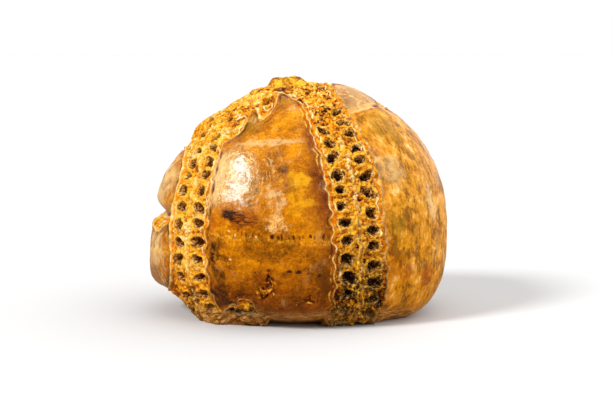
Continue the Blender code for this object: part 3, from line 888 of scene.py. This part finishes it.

    # a worn face with a painted highlight: scratches that curl round it, paler and denser inside, pale wear
    # with painted sheen, and painted white cores
    whorl = n.vector("SUBTRACT", sheet, (-25 * unrolled, 21.3, 0))
    curl = n.vector("MULTIPLY", n.vector("NORMALIZE", whorl), (1.7, 1.7, 0))
    apart = n.vector("LENGTH", whorl, output="Value")
    swirl = n.noise(1, 6, 0.7, 0.9, place=n.vector("ADD", curl, n.joined(0.0, 0.0, n.times(apart, 3.6))))
    brushed = n.noise(0.3, 5, 0.7, 0.8, stretch=(1, 5.0, 1), shift=9.2, place=laidOut)
    scratches = n.noise(0.45, 7, 0.75, 2.0, shift=2.7)
    wornSheenPatch = n.patch(sheet, -27.5, 21.0, 3.4, 4.0, 0, 0.2)
    curls = n.between(n.most(swirl, n.times(scratches, 0.96)), 0.47, 0.62, 0.05, 0.95)
    wornSheenShare = n.times(wornSheenPatch, curls)
    fringe = n.patch(sheet, -22, 20.5, 5.0, 5.6, 0, 0.3)
    # round the worn face: rust swirls, and cream swirls of painted sheen
    colour = n.tint(colour, amber["rust"], fringe, n.between(swirl, 0.36, 0.44, 1, 0), 0.5)
    colour = n.tint(colour, amber["cream"], fringe, n.between(swirl, 0.54, 0.64), 0.5)
    colour = n.tint(colour, amber["haze"], wornSheenShare)
    # painted highlight: two white cores on the worn face
    for place, strength in (((-25.4, 20.0, 1.5, 1.1, 20), 1.0), ((-25.6, 22.8, 1.9, 1.6, -10), 0.7)):
        core = n.times(n.patch(looseSheet, *place, core=0.1), strength)
        share = n.between(n.most(swirl, scratches), 0.40, 0.60, 0.15, 1.0)
        colour = n.tint(colour, amber["white"], core, share)
    # pale wear with painted sheen along the worn face's left side
    leftWearAndSheen = n.times(n.patch(sheet, -37, 21.5, 2.2, 4.4, 8, 0.4), n.between(brushed, 0.4, 0.58))
    colour = n.tint(colour, amber["greyHaze"], leftWearAndSheen, 0.8)
    halo = n.times(n.patch(looseSheet, -23.5, 26.2, 3.0, 1.5, 12, 0.1),
                   n.between(speck, 0.36, 0.56, 0.4, 1))
    colour = n.tint(colour, amber["rust"], halo, 0.7)
    combed = n.noise(0.26, 4, 0.65, 0.5, stretch=(4.5, 1, 1), shift=11.3, place=laidOut)
    for *place, strength in (
        (-27.6, 25.9, 1.15, 0.85, 10, 1.0), (-24.4, 26.3, 1.3, 0.9, 20, 0.95), (-20.5, 26.3, 2.2, 0.8, 14,
                                                                                0.8),
    ):
        brushedOut = n.times(n.patch(sheet, *place, 0.4), strength)
        dense = 0.0 if place[0] < -27 else 0.06
        share = n.between(combed, 0.38 + dense, 0.50 + dense, 0.15, 1.0)
        colour = n.tint(colour, amber["stain"], brushedOut, share)
    speckled = n.times(n.patch(looseSheet, -8, 26.6, 1.2, 1.2, 0, 0.2), n.between(scratches, 0.42, 0.56))
    colour = n.tint(colour, amber["cream"], speckled, 0.6)
    rubbed = n.times(n.between(n.noise(2.6, 4, 0.6, shift=12.3), 0.55, 0.7), n.between(brushed, 0.42, 0.6))
    colour = n.tint(colour, amber["haze"], rubbed, n.between(arc, 18, 26, 0.35, 0.12))

    # where plates meet: placed ticks in front, a faint broken row elsewhere
    beads = n.add("TexVoronoi", voronoi_dimensions="1D", output="Distance",
                  given={"W": n.times(azimuth, arcMm / 0.7), "Scale": 1})
    dot = n.between(beads, 0.12, 0.26, 1, 0)
    broken = n.times(n.between(n.noise(2.2, 2, shift=14.1), 0.48, 0.6), n.minus(1.0, front),
                     n.between(right, 0, 1, 1, 0.4))
    for line, share in ((0.0, 0.75), (4.15, 0.45)):
        row = n.times(n.between(n.apart(suture, line), 0.12, 0.34, 1, 0), broken, share)
        colour = n.tint(colour, amber["stain"], row, dot)
    seamGlow = n.times(n.near(suture, 0.45, 0.4), n.between(speck, 0.46, 0.56),
                       n.between(clouds, 0.42, 0.56, 0.2, 0.6))
    colour = n.tint(colour, amber["pale"], seamGlow)
    ticks = 0.0
    for *place, strength in frontTicks:
        ticks = n.most(n.times(n.patch(tightSheet, *place, 0, 0.5), strength), ticks)
    colour = n.tint(colour, amber["stain"], ticks)
    # painted glints: cream spots on the small crystals
    lit = 0.0
    for sparkAzimuth, sparkArc, reach in sparkles:
        lit = n.most(n.patch(sheet, sparkAzimuth, sparkArc, reach, 1.4 * reach, 20, 0.3), lit)
    colour = n.tint(colour, amber["cream"], lit, 0.7)

    # weathered plates at the very top of the right panel, with pale seams
    plates = n.add("TexVoronoi", feature="DISTANCE_TO_EDGE", output="Distance",
                   given={"Vector": laidOut, "Scale": 0.3})
    topRight = n.times(within(42, 100), n.between(arc, 11.6, 12.6, 1, 0))
    plateLine = n.between(plates, 0.02, 0.09, 1, 0)
    colour = n.tint(colour, amber["grey"], topRight, n.between(scuffs, 0.42, 0.55, 0.85, 0.35))
    colour = n.tint(colour, amber["peach"], topRight, plateLine, n.between(speck, 0.42, 0.54), 0.75)
    seamAt = n.plus(n.minus(arc, 12.75), blotches, 0.9)
    topSeam = n.times(within(42, 100), n.near(seamAt, 0, 0.26), n.between(speck, 0.36, 0.5, 0.5, 1))
    colour = n.tint(colour, amber["rust"], within(42, 100), n.near(seamAt, 0.4, 0.3), 0.6)
    colour = n.tint(colour, amber["peach"], topSeam)
    seamShadow = n.times(within(42, 100), n.near(seamAt, -0.45, 0.35), n.between(scuffs, 0.42, 0.52))
    colour = n.tint(colour, amber["peach"], seamShadow, 0.7)

    # the panels darken towards their edges: painted shade mixed with rust, and painted shade in the groove
    # beside the rim
    edgeShade = n.times(n.between(rim, -1.5, -0.1), n.between(n.noise(1.4, 3, shift=5.9), 0.4, 0.62))
    colour = n.tint(colour, amber["rust"], edgeShade, 0.5, blend="MULTIPLY")
    # painted shade in the groove beside the rim, in the stain colour
    grooveShadeShare = n.between(n.noise(1.7, 3, shift=10.4), 0.46, 0.6, 0.0, 0.9)
    clearEdge = n.between(within(28, 56), 0, 1, 1, 0.2)     # the right-hand panel's edge is hardly seen
    colour = n.tint(colour, amber["stain"], n.near(rim, -0.3, 0.24), grooveShadeShare, clearEdge)
    doubled = n.times(within(0, 15), n.between(n.apart(arc, 24.5), 3.5, 5.5))
    colour = n.tint(colour, amber["rust"], n.near(rim, -0.2, 0.16), doubled, 0.6)
    secondLine = n.times(n.near(rim, -0.42, 0.15), doubled, n.between(blotches, 0.44, 0.54))
    colour = n.tint(colour, amber["pale"], secondLine, n.between(speck, 0.38, 0.52), 0.8)

    # crust of the bands: every tone from rust to cream, with single grains, and painted shade in the
    # creases
    mottle = n.noise(0.6, 6, 0.7, 0.4, shift=5.3)
    cells = n.add("TexVoronoi", output="Position", given={"Scale": 1000 / 0.36, "Vector": n.place})
    cellTone = n.add("TexWhiteNoise", output="Value", given={"Vector": cells})
    melted = n.noise(1.6, 5, 0.6, 0.8, shift=24.6)
    coarse = n.between(arc, 12, 17, 1.0, 0.45)      # grainier towards the top
    melt = n.field("melt")
    mixture = n.times(n.blendValues(n.plus(0.45, melt, 0.25), mottle, melted), 0.94)
    mixture = n.plus(mixture, crumbTone, 0.05)
    grainShare = n.times(coarse, n.between(melt, 0.2, 0.9, 0.22, 0.05))
    mixture = n.plus(mixture, n.minus(cellTone, 0.5), grainShare)
    mixture = n.plus(n.plus(mixture, 0.022), leftBand, 0.045)
    # painted shade: the crust darker towards the bottom
    mixture = n.plus(mixture, n.between(arc, 29, 38), -0.08)
    mixture = n.plus(mixture, n.between(arc, 11, 18, 1, 0), -0.02)
    mixture = n.plus(-0.175, mixture, 1.35)
    coat = n.ramp(
        mixture, (0.34, crustLook["gap"]), (0.43, crustLook["rust"]), (0.50, crustLook["orange"]),
        (0.61, crustLook["straw"]), (0.72, crustLook["cream"]))
    # painted shade in the creases between grains and between folds
    creaseShade = n.times(n.between(grainTop, 0.05, 0.6, 1, 0), n.between(crumb, 0.1, 0.9, 1.0, 0.4))
    coat = n.tint(coat, crustLook["rust"], creaseShade, 0.6, blend="MULTIPLY")
    foldCreaseShade = n.between(folds, 0.05, 0.35, 0.65, 0)
    coat = n.tint(coat, crustLook["rust"], foldCreaseShade, blend="MULTIPLY")
    lip = n.near(pit, 1.4, 0.42)
    coat = n.tint(coat, crustLook["straw"], lip, n.between(mottle, 0.40, 0.56, 0.1, 0.7))
    ridge = n.times(n.near(median, 0.0, 0.42), n.between(mottle, 0.42, 0.56, 0.1, 0.85),
                    n.between(arc, 15, 17))
    coat = n.tint(coat, n.tint(crustLook["straw"], crustLook["cream"], n.between(blotches, 0.42, 0.56)),
                  ridge)
    stripShare = n.times(n.near(rim, 0.30, 0.28), n.between(n.noise(1.1, 3, shift=13.6), 0.34, 0.48, 0.4,
                                                            1.0),
                         n.between(arc, 34, 36.5, 1, 0.15), n.between(azimuth, -84 * deg, -70 * deg, 0.15,
                                                                      1))
    coat = n.tint(coat, crustLook["strip"], stripShare)
    innerGap = n.times(n.near(rim, 0.50, 0.13), n.between(n.noise(1.3, 3, shift=23.1), 0.44, 0.56))
    coat = n.tint(coat, crustLook["rust"], innerGap, 0.75)
    innerLine = n.times(n.near(rim, 0.68, 0.15), n.between(n.noise(1.5, 3, shift=16.2), 0.44, 0.54),
                        n.between(arc, 33, 35, 1, 0))
    coat = n.tint(coat, crustLook["cream"], innerLine, 0.85)
    darkSpeck = n.times(n.between(n.noise(0.3, 4, 0.75, shift=25.9), 0.30, 0.40, 1, 0),
                        n.between(melted, 0.40, 0.56, 1.0, 0.35))
    coat = n.tint(coat, crustLook["gap"], darkSpeck, 0.85)
    # painted highlight on the crests of the folds
    crestHighlight = n.times(n.between(folds, 0.7, 1.0), n.between(mottle, 0.48, 0.58),
                    n.between(arc, 30, 36, 0.6, 0.2))
    coat = n.tint(coat, crustLook["straw"], crestHighlight)
    whiteSpeck = n.between(n.noise(0.26, 4, 0.75, shift=26.8), 0.61, 0.67)
    coat = n.tint(coat, crustLook["cream"], whiteSpeck, 0.8)

    # pit floors: nearly black with painted shade, and gold and brown grains, more of them near the edge
    gritty = n.plus(n.noise(0.3, 5, 0.75, shift=27.4), n.between(pit, 0.2, 1.15), 0.14)
    floorColour = n.ramp(
        gritty, (0.48, crustLook["pit"]), (0.585, crustLook["pitBrown"]), (0.665, crustLook["pitGold"]),
        (0.74, crustLook["cream"]))
    floorColour = n.tint(floorColour, crustLook["rust"], leftBand, 0.25)
    coat = n.tint(coat, floorColour, n.between(pit, 1.0, 1.3, 1, 0))
    # low down on the right-hand band the middle splits in two, and everything is dark and clogged
    clogged = n.times(within(14, 36), n.between(arc, 28, 35), n.between(speck, 0.44, 0.58, 1.0, 0.05))
    coat = n.tint(coat, crustLook["pit"], clogged, 0.9)
    split = n.times(within(12, 40), n.between(arc, 23.5, 25.5))
    coat = n.tint(coat, crustLook["rust"], split, n.near(median, 0, 0.2), 0.7)
    twinLine = n.times(split, n.near(n.math("ABSOLUTE", median), 0.3, 0.15), n.between(speck, 0.38, 0.52))
    coat = n.tint(coat, crustLook["straw"], twinLine, 0.85)

    crustShare = n.between(rim, -0.05, 0.1)
    colour = n.tint(colour, coat, crustShare)
    # painted shade in the odd hollows
    hollowShade = n.tint(crustLook["gap"], crustLook["rust"], n.between(mottle, 0.46, 0.62))
    colour = n.tint(colour, hollowShade, n.between(hollow, 0.6, 1.15, 0.95, 0))
    rough = n.ramp(n.plus(mottle, folds, 0.22), (0.50, crustLook["pit"]), (0.60, crustLook["rubble"]),
                   (0.72, crustLook["rust"]), (0.84, crustLook["straw"]))
    colour = n.tint(colour, rough, n.between(n.field("rubble"), 0.6, 1.2, 0.95, 0))
    edgeTone = n.tint(crustLook["straw"], crustLook["edge"],
                      n.between(n.noise(0.9, 4, 0.65, shift=17.7), 0.38, 0.58))
    edgeShare = n.between(n.noise(0.8, 3, shift=18.5), 0.36, 0.5, 0.25, 0.95)
    edgeShare = n.times(edgeShare, n.between(arc, 33, 36, 1, 0.55),
                        n.between(azimuth, -96 * deg, -80 * deg, 0.6, 1), n.minus(1.0,
                                                                                  n.times(within(28, 56),
                                                                                          0.6)))
    colour = n.tint(colour, edgeTone, n.near(rim, 0.02, 0.15), edgeShare)

    # the cap's smooth plate, and the foot smeared with grey-brown earth
    capShare = n.times(n.between(arc, 2.6, 3.6, 1, 0), n.between(speck, 0.36, 0.5, 0.35, 0.85))
    colour = n.tint(colour, n.tint(amber["brown"], crustLook["straw"], n.between(blotches, 0.42, 0.56)),
                    capShare)
    foot = n.times(n.between(arc, 37.4, 39.2), n.between(n.noise(1.2, 4, shift=19.1), 0.3, 0.55, 0.5, 0.95),
                   n.between(within(16, 34), 0, 1, 1, 0.35))
    smear = n.ramp(n.noise(0.5, 5, 0.65, stretch=(2.5, 0.35, 1), shift=20.3, place=laidOut),
                   *zip((0.38, 0.5, 0.62), earthLook.values()))
    colour = n.tint(colour, smear, foot, 0.85)
    for *place, strength, name in crustMarks:
        share = n.times(n.patch(sheet, *place, 0.3), crustShare)
        grit = n.between(mottle, 0.40, 0.56, 0.2, 1.0)
        colour = n.tint(colour, crustLook[name], share, grit, strength)
    n.put(n.shader.inputs["Base Color"], colour)

    polish = n.between(blotches, 0.3, 0.7, 0.24, 0.42)
    roughness = n.blendValues(n.most(wornSheenShare, crustShare), polish, 0.6)
    n.put(n.shader.inputs["Roughness"], roughness)
    n.shader.inputs["Specular IOR Level"].default_value = 0.09
    n.shader.inputs["Subsurface Weight"].default_value = 0.06
    n.shader.inputs["Subsurface Radius"].default_value = (1.0, 0.45, 0.08)
    n.shader.inputs["Subsurface Scale"].default_value = 0.5 * mm

    # the finest relief, in mm: rough crust, scratches on the worn face, and a fine grain all over
    height = n.times(n.plus(mottle, speck, 0.5), crustShare, 0.25)
    height = n.plus(height, n.times(fringe, scratches), 0.14)
    height = n.plus(height, fine, 0.018)
    relief = n.add("Bump", output="Normal", given={"Strength": 1.0, "Distance": mm, "Height": height})
    n.put(n.shader.inputs["Normal"], relief)
    return n.material


# the studio

studio = {
    "floorSize": 2.4,
    "keyAzimuth": -52,
    "keyHeight": 38,
    "keyAngle": 17,
    "keyStrength": 3.1,
    "skyLow": 0.16,
    "skyHigh": 1.75,
    "skyFrom": (0.9, 0.15, 0.45),
}

paperLook = tones(seen=(207, 207, 207), bounce=(190, 170, 142))     # bounce is what lights the stone

shot = {"azimuth": 0, "elevation": 6, "distance": 206 * mm, "lens": 100, "objectPixels": (298, 192.5)}


def addToScene(name, data):
    thing = bpy.data.objects.new(name, data)
    bpy.context.scene.collection.objects.link(thing)
    return thing


def splitByCamera(tree, felt, seen, output):
    # the camera sees one shader, and everything else feels the other
    path, pick = tree.nodes.new("ShaderNodeLightPath"), tree.nodes.new("ShaderNodeMixShader")
    tree.links.new(path.outputs["Is Camera Ray"], pick.inputs[0])
    tree.links.new(felt.outputs[0], pick.inputs[1])
    tree.links.new(seen.outputs[0], pick.inputs[2])
    tree.links.new(pick.outputs[0], tree.nodes[output].inputs["Surface"])


def makeFloor():
    mesh = bpy.data.meshes.new("studioFloor")
    side = studio["floorSize"] / 2
    corners = [(-side, -side, 0), (side, -side, 0), (side, side, 0), (-side, side, 0)]
    mesh.from_pydata(corners, [], [(0, 1, 2, 3)])
    floor = addToScene("studioFloor", mesh)
    # white to the camera, but with a softer glow on the stone
    paper = bpy.data.materials.new("floorPaper")
    paper.use_nodes = True
    tree = paper.node_tree
    tree.nodes.remove(tree.nodes["Principled BSDF"])
    seen, felt = tree.nodes.new("ShaderNodeBsdfDiffuse"), tree.nodes.new("ShaderNodeBsdfDiffuse")
    seen.inputs["Color"].default_value = paperLook["seen"]
    felt.inputs["Color"].default_value = paperLook["bounce"]
    splitByCamera(tree, felt, seen, "Material Output")
    mesh.materials.append(paper)


def aim(thing, target):
    thing.rotation_mode = "QUATERNION"
    thing.rotation_quaternion = (target - thing.location).to_track_quat("-Z", "Y")


def direction(azimuth, elevation):
    a, e = azimuth * deg, elevation * deg
    return Vector((math.sin(a) * math.cos(e), -math.cos(a) * math.cos(e), math.sin(e)))


def makeLights(target):
    lamp = bpy.data.lights.new("keyLight", "SUN")
    lamp.angle = studio["keyAngle"] * deg
    lamp.energy = studio["keyStrength"]
    key = addToScene("keyLight", lamp)
    key.location = target + direction(studio["keyAzimuth"], studio["keyHeight"])
    aim(key, target)

    # a soft sky that is brightest on the right and behind, and plain white to the camera
    world = bpy.data.worlds.new("studioWorld")
    world.use_nodes = True
    tree = world.node_tree
    felt = tree.nodes["Background"]
    felt.inputs["Color"].default_value = (1, 1, 1, 1)
    place = tree.nodes.new("ShaderNodeTexCoord")
    facing = tree.nodes.new("ShaderNodeVectorMath")
    facing.operation = "DOT_PRODUCT"
    facing.inputs[1].default_value = Vector(studio["skyFrom"]).normalized()
    tree.links.new(place.outputs["Generated"], facing.inputs[0])
    glow = tree.nodes.new("ShaderNodeMapRange")
    glow.interpolation_type = "SMOOTHSTEP"
    for name, value in (("From Min", -0.5), ("From Max", 0.9), ("To Min", studio["skyLow"]),
                        ("To Max", studio["skyHigh"])):
        glow.inputs[name].default_value = value
    tree.links.new(facing.outputs["Value"], glow.inputs["Value"])
    tree.links.new(glow.outputs["Result"], felt.inputs["Strength"])
    seen = tree.nodes.new("ShaderNodeBackground")
    seen.inputs["Color"].default_value = (1, 1, 1, 1)
    splitByCamera(tree, felt, seen, "World Output")
    bpy.context.scene.world = world


def makeCamera(target):
    data = bpy.data.cameras.new("shotCamera")
    data.lens = shot["lens"]
    data.sensor_width = 36
    data.clip_start = 0.005
    data.clip_end = 20
    camera = addToScene("shotCamera", data)
    back = direction(shot["azimuth"], shot["elevation"])
    camera.location = target + back * shot["distance"]
    aim(camera, target)
    # the object sits a little left of and above the frame's middle
    data.shift_x = (306 - shot["objectPixels"][0]) / 612
    data.shift_y = -(205 - shot["objectPixels"][1]) / 612
    bpy.context.scene.camera = camera


# everything together

urchin = makeUrchin()
urchin.data.materials.clear()
urchin.data.materials.append(stoneMaterial())
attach(urchin, "root")
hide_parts("sea_urchin")
print("stone dressed")

makeFloor()
low, high = cadBox
middle = (low + high) / 2
makeLights(middle)
makeCamera(middle)
scene = bpy.context.scene
scene.view_settings.view_transform = "Standard"
print("studio set")
